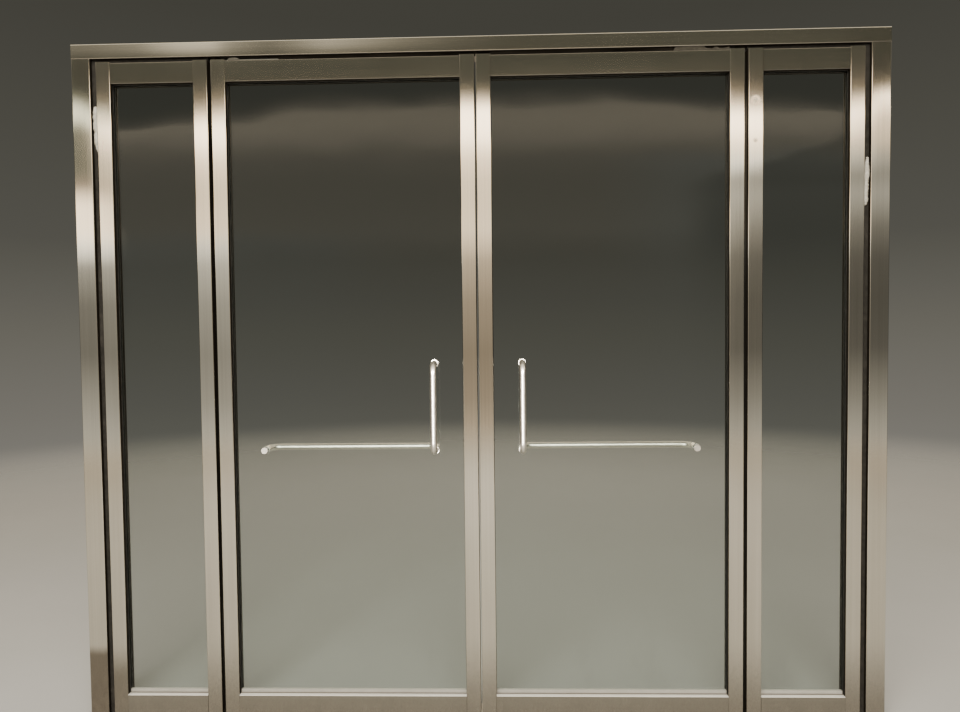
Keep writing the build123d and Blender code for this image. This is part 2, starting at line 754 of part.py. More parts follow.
def surround(word, side):
    """The jamb, floor spring and top pivot bracket of one side."""
    return {
        f"{word}_jamb_cladding": jamb_cladding(side),
        f"{word}_jamb_post": jamb_post(side),
        f"{word}_floor_spring_box": floor_spring_box(side),
        f"{word}_floor_spring_body": floor_spring_body(side),
        f"{word}_floor_cover_plate": floor_cover_plate(side),
        f"{word}_top_pivot_bracket": top_pivot_bracket(side),
    }


def shared_pieces():
    """Single pieces of the frame, and like pieces of both sides that share a node."""
    both = SIDES.values()
    light_openings = [span(side, light_inner + STILE_FACE, light_outer - STILE_FACE) for side in both]
    return {
        "header_cladding": header_cladding(),
        "header_beam": header_beam(),
        "threshold": threshold(),
        "recess_seals": [recess_seal(side) for side in both],
        "sidelight_packers": [piece for side in both for piece in packers(side)],
        "recess_sealant_lumps": [
            sealant_lump(SIDES["left"], LEFT_LUMP_BELOW_HEADER, LEFT_LUMP_LENGTH),
            sealant_lump(SIDES["right"], RIGHT_LUMP_BELOW_HEADER, RIGHT_LUMP_LENGTH),
        ],
        "sidelight_setting_blocks": [
            piece for opening in light_openings for piece in setting_blocks(*opening)
        ],
        "cover_plate_screws": [
            cover_screw(x, y) for side in both for x, y in cover_screw_places(side)
        ],
    }


def entrance_door():
    """All nodes of the door by name, each a shape or a list of separate shapes."""
    nodes = shared_pieces()
    for word, side in SIDES.items():
        nodes.update(surround(word, side))
        nodes.update(sidelight(f"{word}_sidelight", side))
        nodes.update(leaf(f"{word}_leaf", side))
    return nodes


os.makedirs("parts", exist_ok=True)
for node_name, shape in entrance_door().items():
    pieces = shape if isinstance(shape, list) else [shape]
    solids = [solid for piece in pieces for solid in piece.solids()]
    whole = solids[0] if len(solids) == 1 else Compound(children=solids)
    export_step(whole, f"parts/{node_name}.step")
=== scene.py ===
"""Dresses the glass entrance door: brushed steel, clear glass, seals, old sealant and a plain studio."""

import logging
import math
import random
from dataclasses import dataclass, replace
from enum import Enum
from typing import Dict, List, Optional, Sequence, Tuple, Union

import bpy
from mathutils import Matrix, Vector


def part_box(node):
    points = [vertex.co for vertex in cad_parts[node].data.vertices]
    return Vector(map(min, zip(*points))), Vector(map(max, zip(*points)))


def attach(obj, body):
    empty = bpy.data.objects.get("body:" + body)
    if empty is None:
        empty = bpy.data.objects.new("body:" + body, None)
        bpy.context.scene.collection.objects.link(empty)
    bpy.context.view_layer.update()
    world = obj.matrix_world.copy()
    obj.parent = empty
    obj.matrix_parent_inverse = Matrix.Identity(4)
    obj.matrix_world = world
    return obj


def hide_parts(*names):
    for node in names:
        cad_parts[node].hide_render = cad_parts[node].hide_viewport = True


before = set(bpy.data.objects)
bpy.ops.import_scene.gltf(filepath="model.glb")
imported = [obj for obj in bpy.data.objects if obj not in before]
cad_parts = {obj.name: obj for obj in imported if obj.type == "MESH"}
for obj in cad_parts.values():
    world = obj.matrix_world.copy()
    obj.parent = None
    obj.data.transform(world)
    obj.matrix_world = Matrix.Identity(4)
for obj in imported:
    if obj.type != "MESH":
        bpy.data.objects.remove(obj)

log = logging.getLogger("entrance_door")

Colour = Tuple[float, float, float]
Point = Tuple[float, float, float]
Span = Tuple[float, float]
Rise = Tuple[float, float, float]
Tone = Union[Colour, bpy.types.NodeSocket]
Stops = Sequence[Tuple[float, Colour]]
SIDES: Dict[str, int] = {"left": -1, "right": 1}


class Grain(Enum):
    """Which way the brushing of a piece runs."""

    UPRIGHT = "upright"
    LEVEL = "level"
    DEEP = "deep"

    def stretch(self, across: float, along: float) -> Point:
        """Scales a pattern so that it runs long along the grain.

        Args:
            across: pattern scale at right angles to the grain.
            along: pattern scale along the grain.

        Returns:
            The scale on X, Y and Z.
        """
        if self is Grain.UPRIGHT:
            return (across, across, along)
        if self is Grain.LEVEL:
            return (along, across, across)
        return (across, along, across)


class Value:
    """A number socket of a node tree: sums and products with it add their Math nodes."""

    def __init__(self, board: "Board", socket: bpy.types.NodeSocket) -> None:
        """Keeps the socket and the board that it is on."""
        self.board = board
        self.socket = socket

    def __add__(self, other: "Number") -> "Value":
        """Sum."""
        return self.board.math("ADD", self, other)

    def __radd__(self, other: "Number") -> "Value":
        """Sum, from the right."""
        return self.board.math("ADD", other, self)

    def __sub__(self, other: "Number") -> "Value":
        """Difference."""
        return self.board.math("SUBTRACT", self, other)

    def __rsub__(self, other: "Number") -> "Value":
        """Difference, from the right."""
        return self.board.math("SUBTRACT", other, self)

    def __mul__(self, other: "Number") -> "Value":
        """Product."""
        return self.board.math("MULTIPLY", self, other)

    def __rmul__(self, other: "Number") -> "Value":
        """Product, from the right."""
        return self.board.math("MULTIPLY", other, self)

    def __truediv__(self, other: "Number") -> "Value":
        """Quotient."""
        return self.board.math("DIVIDE", self, other)

    def __pow__(self, power: "Number") -> "Value":
        """Power."""
        return self.board.math("POWER", self, power)

    def __abs__(self) -> "Value":
        """Absolute value."""
        return self.board.math("ABSOLUTE", self)


Number = Union[Value, float]


class Board:
    """Makes the nodes of one material or world."""

    def __init__(self, tree: bpy.types.NodeTree) -> None:
        """Empties the node tree that it fills."""
        self.tree = tree
        tree.nodes.clear()

    def node(
        self, kind: str, settings: Optional[dict] = None, inputs: Optional[dict] = None
    ) -> bpy.types.Node:
        """Adds one node.

        Args:
            kind: Blender's type name of the node.
            settings: its own settings by name, or "stops" for a ramp's colours, which are set first.
            inputs: values or links of its sockets, by name or number.

        Returns:
            The new node.
        """
        made = self.tree.nodes.new(kind)
        for name, value in (settings or {}).items():
            if name == "stops":
                self._set_stops(made, value)
            else:
                setattr(made, name, value)
        for key, value in (inputs or {}).items():
            socket = made.inputs[key]
            if isinstance(value, Value):
                self.tree.links.new(value.socket, socket)
            elif isinstance(value, bpy.types.NodeSocket):
                self.tree.links.new(value, socket)
            elif socket.type == "RGBA" and len(value) == 3:
                socket.default_value = (*value, 1.0)
            else:
                socket.default_value = value
        return made

    @staticmethod
    def _set_stops(ramp: bpy.types.Node, stops: Stops) -> None:
        """Gives a ramp its colours.

        Args:
            ramp: the Color Ramp node.
            stops: place from 0 to 1 and colour of each stop, in order.
        """
        elements = ramp.color_ramp.elements
        while len(elements) < len(stops):
            elements.new(1.0)
        for element, (place, colour) in zip(elements, stops):
            element.position = place
            element.color = (*colour, 1.0)

    def ramp(self, value: Value, stops: Stops) -> bpy.types.NodeSocket:
        """Colour that changes with a value.

        Args:
            value: what decides.
            stops: value and colour of each stop, in order.

        Returns:
            The colour.
        """
        low, high = stops[0][0], stops[-1][0]
        places = [((at - low) / (high - low), colour) for at, colour in stops]
        inputs = {0: (value - low) / (high - low)}
        return self.node("ShaderNodeValToRGB", {"stops": places}, inputs).outputs[0]

    def math(self, operation: str, *values: Number) -> Value:
        """Result of a Math node with one or two operands."""
        made = self.node("ShaderNodeMath", {"operation": operation}, dict(enumerate(values)))
        return Value(self, made.outputs[0])

    def axes(self) -> Tuple[Value, Value, Value]:
        """X, Y and Z in the door's frame, in metres."""
        return self.split(self.place())

    def facing(self) -> Tuple[Value, Value, Value]:
        """X, Y and Z of the way that the surface faces, in the door's frame."""
        return self.split(self.node("ShaderNodeTexCoord").outputs["Normal"])

    def split(self, vector: bpy.types.NodeSocket) -> Tuple[Value, Value, Value]:
        """X, Y and Z of a vector."""
        parts = self.node("ShaderNodeSeparateXYZ", inputs={0: vector})
        return tuple(Value(self, parts.outputs[k]) for k in range(3))

    def place(self) -> bpy.types.NodeSocket:
        """Object coordinates."""
        return self.node("ShaderNodeTexCoord").outputs["Object"]

    def noise(
        self, scale: Point, shift: Point = (0.0, 0.0, 0.0), detail: float = 2.0, roughness: float = 0.5
    ) -> Value:
        """Soft random pattern from 0 to 1.

        Args:
            scale: how fine it is on X, Y and Z.
            shift: moves the pattern.
            detail: number of finer layers.
            roughness: strength of the finer layers.

        Returns:
            The pattern.
        """
        where = {"Vector": self.place(), "Scale": scale, "Location": shift}
        vector = self.node("ShaderNodeMapping", inputs=where).outputs[0]
        what = {"Vector": vector, "Scale": 1.0, "Detail": detail, "Roughness": roughness}
        return Value(self, self.node("ShaderNodeTexNoise", inputs=what).outputs[0])

    def step(self, value: Number, low: float, high: float) -> Value:
        """Goes smoothly from 0 at low to 1 at high.

        Args:
            value: what is compared.
            low: where the result is 0.
            high: where it is 1, which may be under low.

        Returns:
            The result, from 0 to 1.
        """
        inputs = {"Value": value, "From Min": low, "From Max": high}
        made = self.node("ShaderNodeMapRange", {"interpolation_type": "SMOOTHSTEP"}, inputs)
        return Value(self, made.outputs[0])

    def rise(self, value: Number, low: float, high: float, top: float) -> Value:
        """Goes smoothly from 0 at low to a top at high."""
        return self.step(value, low, high) * top

    def blend(self, share: Number, first: Tone, second: Tone, way: str = "MIX") -> bpy.types.NodeSocket:
        """Mixes two colours: share 0 gives the first and 1 the second."""
        settings = {"data_type": "RGBA", "blend_type": way, "clamp_factor": True}
        return self.node("ShaderNodeMix", settings, {0: share, 6: first, 7: second}).outputs[2]

    def bump(self, height: Number, depth: float, strength: float = 1.0) -> bpy.types.NodeSocket:
        """Normals of a surface that stands up by a pattern, by a depth in metres where that is 1."""
        inputs = {"Height": height, "Distance": depth, "Strength": strength}
        return self.node("ShaderNodeBump", inputs=inputs).outputs[0]

    def mix(self, share: Number, first: bpy.types.Node, second: bpy.types.Node) -> bpy.types.Node:
        """Mixes two shaders: share 0 gives the first and 1 the second."""
        inputs = {0: share, 1: first.outputs[0], 2: second.outputs[0]}
        return self.node("ShaderNodeMixShader", inputs=inputs)

    def light(self, colour: Tone, strength: Number) -> bpy.types.Node:
        """Light of a colour and strength, for a world."""
        return self.node("ShaderNodeBackground", inputs={"Color": colour, "Strength": strength})

    def surface(self, shader: bpy.types.Node) -> None:
        """Sends a shader to the material's output."""
        self.node("ShaderNodeOutputMaterial", inputs={"Surface": shader.outputs[0]})

    def principled(self, inputs: dict) -> bpy.types.Node:
        """The usual surface shader, with these inputs."""
        return self.node("ShaderNodeBsdfPrincipled", inputs=inputs)


class Finish:
    """What every finish has: a name and a way to make its material once."""

    made: Dict["Finish", bpy.types.Material] = {}
    name = ""

    def material(self) -> bpy.types.Material:
        """Makes the finish when it is first asked for.

        Returns:
            Its material.
        """
        if self not in Finish.made:
            material = bpy.data.materials.new(self.label())
            material.use_nodes = True
            self.paint(Board(material.node_tree))
            Finish.made[self] = material
        return Finish.made[self]

    def label(self) -> str:
        """Name of the material."""
        return self.name or type(self).__name__

    def paint(self, board: Board) -> None:
        """Adds the finish's nodes to a board."""
        raise NotImplementedError


@dataclass(frozen=True)
class BrushedSteel(Finish):
    """Stainless sheet with hairline brushing, handling marks, grime at the foot, painted shade low down and on
    its returns, and a painted highlight on bottom rail folds.
    """

    grain: Grain = Grain.UPRIGHT
    colour: Colour = (0.64, 0.60, 0.52)
    roughness: float = 0.092
    hairline: float = 900.0
    relief: float = 0.000012
    spread: float = 1.0
    # Painted shade low down, partly a brown film: the height where it starts, where it is full, and its
    # colour.
    shade_film_from: float = 0.32
    shade_film_to: float = 0.02
    shade_film_tone: Colour = (0.20, 0.18, 0.15)
    # Painted shade on returns: the depth within which faces go near black, the sideways turn from which they
    # do, and its share on downward folds high up.
    shade_depth: float = 0.0238
    flank_shade_from: float = 0.12
    flank_shade_to: float = 0.60
    fold_shade: float = 0.72
    grime_top: float = 0.30
    grime_tone: Colour = (0.17, 0.14, 0.10)
    # Colour of the painted highlight on bottom rail folds.
    ledge_highlight_tone: Colour = (0.93, 0.91, 0.86)
    # Colours of that painted shade, and the heights above which downward folds and top faces under the header
    # take it.
    gap_shade_tones: Tuple[Colour, Colour] = ((0.008, 0.006, 0.004), (0.020, 0.016, 0.011))
    head_folds: Span = (2.0, 2.1)
    header_top: Span = (2.33, 2.31)
    # Heights of the painted highlight on bottom rail folds.
    ledge_highlight_from: Span = (0.060, 0.075)
    ledge_highlight_to: Span = (0.12, 0.10)
    dent_at: Optional[Point] = None
    dent_step: float = 0.135
    dent_tone: Colour = (0.42, 0.38, 0.33)

    def label(self) -> str:
        """Name of the material."""
        return f"brushed_steel_{self.grain.value}" + ("_marked" if self.dent_at else "")

    def marks(self, board: Board) -> Value:
        """Round handling marks, strongest at their middle.

        Args:
            board: the material's board.

        Returns:
            The marks, from 0 to 1.
        """
        x, _, z = board.axes()
        across, _, high = self.dent_at
        upper = board.step(((x - across) ** 2 + (z - high) ** 2) ** 0.5, 0.002, 0.020)
        lower = board.step(((x - across) ** 2 + (z - high + self.dent_step) ** 2) ** 0.5, 0.001, 0.012)
        return board.math("MAXIMUM", 1 - upper, 1 - lower)

    def returns(self, board: Board) -> Value:
        """Where painted shade darkens the faces that turn into a gap or towards the glass, those that face
        down, and the top faces under the header.

        Args:
            board: the material's board.

        Returns:
            1 on those faces and 0 elsewhere.
        """
        aside, _, upward = board.facing()
        _, y, z = board.axes()
        sunk = board.step(abs(y), self.shade_depth + 0.0005, self.shade_depth - 0.0010)
        flank = board.step(abs(aside), self.flank_shade_from, self.flank_shade_to)
        under = board.step(upward, -0.80, -0.95)
        upper = board.step(z, *self.head_folds)
        fold = board.step(upward, -0.02, -0.15) * upper * self.fold_shade
        head = board.step(upward, 0.02, 0.25) * upper * board.step(z, *self.header_top)
        turned = board.math("MAXIMUM", board.math("MAXIMUM", flank, under) * sunk, head)
        return board.math("MAXIMUM", turned, fold)

    def ledge_highlight(self, board: Board) -> Value:
        """Where a painted highlight lies on the top fold of a bottom rail: near white, matt and less metallic.

        Args:
            board: the material's board.

        Returns:
            1 on that fold and 0 elsewhere.
        """
        _, _, upward = board.facing()
        _, _, z = board.axes()
        return board.step(upward, 0.05, 0.20) * board.step(z, *self.ledge_highlight_from) * board.step(z, *self.ledge_highlight_to)

    def paint(self, board: Board) -> None:
        """Brushing in three widths, cleaning marks, painted shade low down with a brown film, a painted
        highlight on bottom rail folds and painted shade on the returns.

        Args:
            board: the material's board.
        """
        fine = board.noise(self.grain.stretch(self.hairline, self.hairline / 90), detail=3)
        streaks = board.noise(self.grain.stretch(150.0, 1.2), (3.1, 0.7, 1.9), detail=4)
        bands = board.noise(self.grain.stretch(30.0, 0.5), (0.4, 5.2, 2.3), detail=1)
        clouds = board.noise((5.0, 5.0, 2.2), (7.0, 1.0, 4.0), detail=5, roughness=0.62)
        _, _, z = board.axes()
        spatter = board.noise((60.0, 60.0, 38.0), (2.0, 9.0, 0.0), detail=6, roughness=0.7)
        low = board.step(z, self.grime_top, 0.0)
        grime = low * board.step(spatter + low * 0.10, 0.46, 0.80)
        shade = 0.5 + (streaks - 0.5) * 0.9 + (bands - 0.5) * 0.5 + (clouds - 0.5) * 0.35
        dark = tuple(c * 0.86 for c in self.colour)
        light = tuple(min(1.0, c * 1.10) for c in self.colour)
        # Painted shade low down, partly a brown film: the sheet darkens towards the foot.
        film = board.step(z + (clouds - 0.5) * 0.06, self.shade_film_from, self.shade_film_to)
        steel = board.blend(film * 0.75, board.blend(shade, dark, light), self.shade_film_tone)
        # Painted highlight: the upward fold of the bottom rails turns near white, matt and less metallic.
        ledge_highlight = self.ledge_highlight(board)
        grime_shade_and_highlight = board.blend(ledge_highlight, board.blend(grime * 0.4, steel, self.grime_tone), self.ledge_highlight_tone)
        rough = self.roughness * (0.70 + fine * 0.25 + clouds * 0.35) + grime * 0.18 + ledge_highlight * 0.35
        height = fine * 0.7 + streaks * 0.3
        if self.dent_at:
            marks = self.marks(board)
            grime_shade_and_highlight = board.blend(marks * 0.30, grime_shade_and_highlight, self.dent_tone)
            rough = rough + marks * 0.22
            height = height - marks * 2.2
        bare = board.principled({
            "Base Color": grime_shade_and_highlight,
            "Metallic": 1 - grime * 0.3 - ledge_highlight * 0.5,
            "Roughness": rough,
            "Anisotropic": self.spread,
            "Normal": board.bump(height, self.relief),
        })
        # Painted shade: the returns are mixed to a near-black matt surface.
        gap_shade_tone = board.blend(clouds, *self.gap_shade_tones)
        black = board.principled({"Base Color": gap_shade_tone, "Roughness": 0.9, "Specular IOR Level": 0.08})
        board.surface(board.mix(self.returns(board) * (0.90 + clouds * 0.15), bare, black))


@dataclass(frozen=True)
class SatinTube(Finish):
    """Satin polished handle tube, finer and brighter than the sheet."""

    turn: float = 0.0
    stretch: float = 0.25
    colour: Colour = (0.72, 0.68, 0.61)
    roughness: float = 0.29

    def paint(self, board: Board) -> None:
        """Fine rings of polishing and faint finger smears.

        Args:
            board: the material's board.
        """
        rings = board.noise((1400.0, 1400.0, 1400.0))
        smears = board.noise((9.0, 30.0, 14.0), (1.0, 2.0, 3.0), detail=5, roughness=0.6)
        tone = board.blend(smears, tuple(c * 0.93 for c in self.colour), self.colour)
        rough = self.roughness + (smears - 0.5) * 0.08 + (rings - 0.5) * 0.04
        board.surface(board.principled({
            "Base Color": tone,
            "Metallic": 1.0,
            "Roughness": rough,
            "Anisotropic": self.stretch,
            "Anisotropic Rotation": self.turn,
            "Normal": board.bump(rings, 0.00002, 0.3),
        }))


@dataclass(frozen=True)
class ClearGlass(Finish):
    """Clear float glass, faintly green, with a film of dust and wiping marks."""

    tint: Colour = (0.90, 0.945, 0.915)
    index: float = 1.40
    wave_height: float = 0.0005
    dust_low: Span = (0.45, 0.06)
    # Height and colours of the painted reflection of the bottom rail's top at the pane's foot.
    ledge_reflection_low: Span = (0.0975, 0.0940)
    ledge_reflection_tones: Tuple[Colour, Colour] = ((0.40, 0.385, 0.34), (0.60, 0.58, 0.53))

    def paint(self, board: Board) -> None:
        """Glass that lets lamps through, slightly wavy, with dust low down and, at its foot, a painted
        reflection of the bottom rail's top: a pale matt band.

        Args:
            board: the material's board.
        """
        _, _, z = board.axes()
        wipes = board.noise((6.0, 6.0, 3.0), (2.0, 0.0, 5.0), detail=6, roughness=0.65)
        dust = board.step(wipes, 0.48, 0.80) * board.step(z, *self.dust_low)
        waves = board.noise((3.0, 3.0, 5.0), (1.0, 0.0, 3.0), detail=1)
        glass = board.principled({
            "Base Color": board.blend(dust, self.tint, tuple(c * 0.9 for c in self.tint)),
            "Roughness": dust * 0.05,
            "IOR": self.index,
            "Transmission Weight": 1.0,
            "Normal": board.bump(waves, self.wave_height),
        })
        clear = board.node("ShaderNodeBsdfTransparent", inputs={"Color": self.tint})
        lamp = board.node("ShaderNodeLightPath").outputs["Is Shadow Ray"]
        # Painted reflection: a pale matt band at the pane's foot stands in for the bottom rail's top mirrored
        # in the glass.
        foot = board.step(z, *self.ledge_reflection_low) * (0.70 + wipes * 0.4)
        tone = board.blend(wipes, *self.ledge_reflection_tones)
        ledge_reflection = board.principled({"Base Color": tone, "Roughness": 0.7})
        board.surface(board.mix(lamp, board.mix(foot, glass, ledge_reflection), clear))


@dataclass(frozen=True)
class Plain(Finish):
    """A non-metal with two tones, fine relief and dust that settles in patches."""

    name: str = "black_rubber"
    colour: Colour = (0.012, 0.012, 0.012)
    second: Colour = (0.03, 0.028, 0.025)
    roughness: float = 0.6
    pattern: float = 60.0
    relief: float = 0.0002
    dust: Colour = (0.20, 0.18, 0.15)
    dust_share: float = 0.15
    pale_below: float = -1.0

    def paint(self, board: Board) -> None:
        """Two tones in clouds, fine pits, patches of dust, and the dust colour all over below a height.

        Args:
            board: the material's board.
        """
        base = self.pattern
        clouds = board.noise((base,) * 3, detail=5, roughness=0.6)
        pits = board.noise((base * 12,) * 3, (1.0, 4.0, 2.0), detail=3)
        settled = board.noise((base / 6,) * 3, (5.0, 1.0, 3.0), detail=6, roughness=0.7)
        tone = board.blend(board.step(clouds, 0.3, 0.7), self.colour, self.second)
        patch = board.step(settled, 0.50, 0.80) * self.dust_share
        _, _, z = board.axes()
        patch = board.math("MAXIMUM", patch, board.step(z, self.pale_below + 0.001, self.pale_below))
        board.surface(board.principled({
            "Base Color": board.blend(patch, tone, self.dust),
            "Roughness": self.roughness + (pits - 0.5) * 0.2 + patch * 0.5,
            "Normal": board.bump(clouds * 0.7 + pits * 0.3, self.relief, 0.8),
        }))


@dataclass(frozen=True)
class CoatedSteel(Finish):
    """Hidden steelwork: plated, primed, galvanised or cast, each with its own grain."""

    name: str = "plated_steel"
    colour: Colour = (0.55, 0.52, 0.42)
    second: Colour = (0.66, 0.64, 0.58)
    metal: float = 0.9
    roughness: float = 0.38
    spangle: float = 0.0
    relief: float = 0.00015
    rust: float = 0.1
    gloss: float = 0.5
    rust_tone: Colour = (0.20, 0.075, 0.03)

    def paint(self, board: Board) -> None:
        """Crystals or clouds of tone, a fine skin, and rust in spots.

        Args:
            board: the material's board.
        """
        clouds = board.noise((22.0, 22.0, 22.0), detail=6, roughness=0.65)
        skin = board.noise((420.0, 420.0, 420.0), (1.0, 7.0, 2.0), detail=3)
        tone = board.blend(clouds, self.colour, self.second)
        if self.spangle:
            cells = {"Vector": board.place(), "Scale": self.spangle}
            flakes = board.node("ShaderNodeTexVoronoi", inputs=cells)
            grey = board.node("ShaderNodeSeparateColor", inputs={0: flakes.outputs["Color"]}).outputs[0]
            tone = board.blend(Value(board, grey) * 0.55, tone, tuple(c * 0.6 for c in self.second))
        spots = board.noise((75.0, 75.0, 75.0), (4.0, 0.0, 8.0), detail=6, roughness=0.7)
        rust = board.step(spots, 0.62, 0.78) * self.rust
        board.surface(board.principled({
            "Base Color": board.blend(rust, tone, self.rust_tone),
            "Metallic": self.metal * (1 - rust),
            "Roughness": self.roughness + (clouds - 0.5) * 0.2 + rust * 0.4,
            "Specular IOR Level": self.gloss,
            "Normal": board.bump(skin * 0.5 + clouds * 0.5, self.relief, 0.7),
        }))


SHEET_UPRIGHT = BrushedSteel(Grain.UPRIGHT)
SHEET_LEVEL = BrushedSteel(
    Grain.LEVEL, (0.56, 0.53, 0.46), roughness=0.08, relief=0.000001, spread=0.8, grime_top=0.12
)
# Jambs take painted shade only on faces turned well aside.
JAMB_SHEET = BrushedSteel(
    Grain.UPRIGHT, roughness=0.065, hairline=1100.0, relief=0.000003, spread=0.3, flank_shade_from=0.8, flank_shade_to=0.95
)
# Copies with a darker foot and a sharper top edge.
DARK_FOOT_JAMB_SHEET = replace(JAMB_SHEET, shade_film_from=0.270, shade_film_to=0.225, shade_film_tone=(0.085, 0.060, 0.038))
DARK_FOOT_SHEET = BrushedSteel(Grain.UPRIGHT, shade_film_from=0.28, shade_film_to=0.14, shade_film_tone=(0.15, 0.13, 0.10))
# The header's downward folds take painted shade at half strength.
HEADER_SHEET = BrushedSteel(
    Grain.LEVEL, roughness=0.070, relief=0.000001, spread=0.4, flank_shade_from=0.8, flank_shade_to=0.95, fold_shade=0.5
)
MARKED_SHEET = BrushedSteel(Grain.UPRIGHT, dent_at=(0.939, -0.025, 2.118))
FLOOR_SHEET = BrushedSteel(
    Grain.LEVEL, roughness=0.30, spread=0.4, grime_top=0.05, shade_film_from=-0.02, shade_film_to=-0.06
)
PULL_TUBE = SatinTube(turn=0.25)
BAR_TUBE = SatinTube(roughness=0.22)
GLASS = ClearGlass()
# The gasket takes the dust colour all over below the top of the bottom rails, so it is paler there.
RUBBER = Plain(pale_below=0.0845)
DEEP_SEAL = Plain("recess_rubber", (0.016, 0.015, 0.013), (0.034, 0.031, 0.026), 0.8, dust_share=0.25)
PLASTIC = Plain("black_plastic", (0.020, 0.020, 0.022), (0.035, 0.035, 0.035), 0.45, 40.0, 0.0001)
SEALANT = Plain(
    "old_sealant", (0.47, 0.44, 0.36), (0.66, 0.63, 0.55), 0.72, 90.0, 0.0006, (0.26, 0.23, 0.18), 0.7
)
MORTAR = Plain(
    "gap_mortar", (0.030, 0.027, 0.020), (0.055, 0.050, 0.038), 0.85, 140.0, 0.0008, (0.09, 0.08, 0.06), 0.4
)
PALE_MORTAR = Plain(
    "pale_mortar", (0.055, 0.051, 0.040), (0.095, 0.088, 0.070), 0.85, 140.0, 0.0008, (0.13, 0.12, 0.10), 0.4
)
NYLON = Plain("clear_nylon", (0.15, 0.15, 0.14), (0.21, 0.21, 0.19), 0.35, 50.0, 0.00005, dust_share=0.1)
PLATED = CoatedSteel()
# Painted shade: the header beam's primer is made near black and dull so the head gap reads dark.
PRIMED_AND_SHADED = CoatedSteel(
    "primed_steel", (0.007, 0.006, 0.005), (0.013, 0.012, 0.010), 0.0, 0.75, rust=0.08, gloss=0.15
)
PRIMED_POST = CoatedSteel(
    "primed_post", (0.030, 0.028, 0.026), (0.050, 0.047, 0.043), 0.0, 0.6, rust=0.12, gloss=0.3
)
# Painted shade: the greased pivot brackets are made near black and dull so the head gap reads dark.
GREASED_AND_SHADED = CoatedSteel(
    "greased_and_shaded_steel", (0.010, 0.009, 0.007), (0.022, 0.019, 0.015), 0.1, 0.6, rust=0.15, gloss=0.2
)
WORN_PLATE = CoatedSteel("worn_plate", (0.18, 0.177, 0.145), (0.24, 0.235, 0.195), 0.2, 0.5)
GALVANISED = CoatedSteel("galvanised_steel", (0.42, 0.43, 0.44), (0.58, 0.59, 0.60), 0.85, 0.42, 160.0)
CASTING = CoatedSteel("closer_casting", (0.10, 0.11, 0.12), (0.15, 0.16, 0.17), 0.2, 0.5, relief=0.0005)


def dress(node: str, finish: Finish) -> None:
    """Gives a CAD node its finish.

    Args:
        node: the node's name.
        finish: what covers it all over.
    """
    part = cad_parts[node]
    material = finish.material()
    if not part.material_slots:
        part.data.materials.append(material)
    for slot in part.material_slots:
        slot.material = material
    log.info("%s: %s", node, material.name)


def select(*pieces: bpy.types.Object) -> None:
    """Args:
        pieces: what to select, the first of them active.
    """
    if bpy.context.object and bpy.context.object.mode != "OBJECT":
        bpy.ops.object.mode_set(mode="OBJECT")
    bpy.ops.object.select_all(action="DESELECT")
    for piece in pieces:
        piece.select_set(True)
    if pieces:
        bpy.context.view_layer.objects.active = pieces[0]


def finish_piece(piece: bpy.types.Object, body: str, slot: str, finish: Finish) -> None:
    """Dresses a new piece and hands it to its body.

    Args:
        piece: the finished mesh.
        body: CAD body that it rides on.
        slot: material slot that the piece would take; not used.
        finish: its finish.
    """
    piece.data.materials.clear()
    piece.data.materials.append(finish.material())
    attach(piece, body)
    log.info("%s: %s faces", piece.name, len(piece.data.polygons))


@dataclass
class RoughRun:
    """A run of soft stuff that was squeezed out and set: blobs melted together and cut flat at a box.

    Each blob is a place and a radius.
    """

    name: str
    body: str
    slot: str
    finish: Finish
    low: Point
    high: Point
    blobs: Sequence[Tuple[Point, float]]
    voxel: float = 0.0009
    roughness: float = 0.0014
    lumps: Tuple[Span, ...] = ((0.010, 1.0), (0.0032, 0.45))
    smooth_below: float = 50.0

    def build(self) -> bpy.types.Object:
        """Models the run.

        Returns:
            The finished piece.
        """
        select()
        balls: List[bpy.types.Object] = []
        for place, radius in self.blobs:
            bpy.ops.mesh.primitive_ico_sphere_add(subdivisions=3, radius=radius, location=place)
            balls.append(bpy.context.object)
        select(*balls)
        bpy.ops.object.join()
        run = balls[0]
        run.name = self.name
        select(run)
        bpy.ops.object.transform_apply(location=True, rotation=True, scale=True)
        self._melt(run)
        self._trim(run)
        finish_piece(run, self.body, self.slot, self.finish)
        return run

    def _melt(self, run: bpy.types.Object) -> None:
        """Melts the blobs into one skin and roughens it.

        Args:
            run: the joined blobs.
        """
        melt = run.modifiers.new("melt", "REMESH")
        melt.mode = "VOXEL"
        melt.voxel_size = self.voxel
        soften = run.modifiers.new("soften", "SMOOTH")
        soften.factor = 0.5
        soften.iterations = 3
        for number, (size, depth) in enumerate(self.lumps):
            texture = bpy.data.textures.new(f"{self.name}_lumps_{number}", "CLOUDS")
            texture.noise_scale = size
            texture.noise_depth = 2
            swell = run.modifiers.new(f"swell_{number}", "DISPLACE")
            swell.texture = texture
            swell.texture_coords = "LOCAL"
            swell.mid_level = 0.5
            swell.strength = self.roughness * depth
        select(run)
        for modifier in list(run.modifiers):
            bpy.ops.object.modifier_apply(modifier=modifier.name)

    def _trim(self, run: bpy.types.Object) -> None:
        """Cuts the run flat at the faces that it lies between.

        Args:
            run: the melted run.
        """
        planes = []
        for axis in range(3):
            normal = Vector((0.0, 0.0, 0.0))
            normal[axis] = 1.0
            planes.append((Vector(self.high), normal))
            planes.append((Vector(self.low), -normal))
        select(run)
        bpy.ops.object.mode_set(mode="EDIT")
        for point, normal in planes:
            bpy.ops.mesh.select_all(action="SELECT")
            cut = {"use_fill": True, "clear_outer": True, "threshold": 1e-6}
            bpy.ops.mesh.bisect(plane_co=point, plane_no=normal, **cut)
        bpy.ops.mesh.select_all(action="SELECT")
        bpy.ops.mesh.normals_make_consistent(inside=False)
        bpy.ops.object.mode_set(mode="OBJECT")
        bpy.ops.object.shade_smooth_by_angle(angle=math.radians(self.smooth_below))


